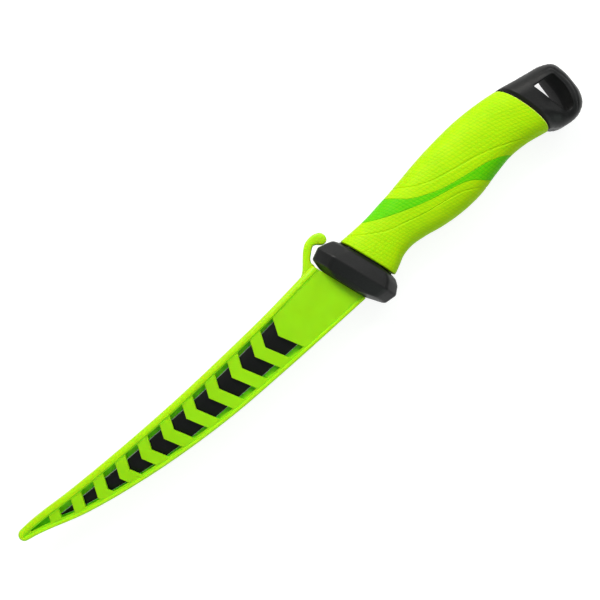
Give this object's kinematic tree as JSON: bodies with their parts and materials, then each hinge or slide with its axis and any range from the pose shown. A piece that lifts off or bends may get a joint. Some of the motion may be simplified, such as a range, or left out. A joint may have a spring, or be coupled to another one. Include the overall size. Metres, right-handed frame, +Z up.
{
  "type": "fillet knife",
  "caption": "Fillet knife with a soft two-colour grip, faceted finger guard and lanyard cap, in a vented slide-on sheath held by a sprung latch.",
  "frame": {"origin": "middle of the guard's lower land, on the floor that the knife lies on", "axes": "+X from the sheath's tip to the butt, +Y from the cutting edge to the spine, +Z up, square to the blade's side"},
  "size_m": [0.3411, 0.0482, 0.0264],
  "materials": {
    "coated_steel": "black non-stick coating over ground steel",
    "black_plastic": "moulded, fine spark-eroded grain",
    "core_plastic": "moulded, hidden",
    "rivet_steel": "plain",
    "lime_rubber": "soft-touch, net texture",
    "green_rubber": "soft-touch, net texture",
    "lime_plastic": "injection moulded, satin"
  },
  "bodies": {
    "knife": {"blade": "coated_steel", "guard": "black_plastic", "core_left": "core_plastic", "core_right": "core_plastic", "tang_rivets": "rivet_steel", "grip_sleeve": "lime_rubber", "grip_wave": "green_rubber", "end_cap": "black_plastic", "cap_pin": "rivet_steel"},
    "sheath": {"sheath_front": "lime_plastic", "sheath_back": "lime_plastic"},
    "latch": {"sheath_latch": "lime_plastic"}
  },
  "joints": [
    {"name": "sheath_slide", "type": "slide", "parent": "knife", "child": "sheath", "axis": [-1, 0, 0], "range_m": [0, 0.19]},
    {"name": "latch_flex", "type": "hinge", "parent": "sheath", "child": "latch", "pos_m": [-0.01898, 0.01564, 0.0132], "axis": [0, 0, 1], "range_deg": [0, 6], "stiffness_Nm_per_rad": 0.4}
  ]
}
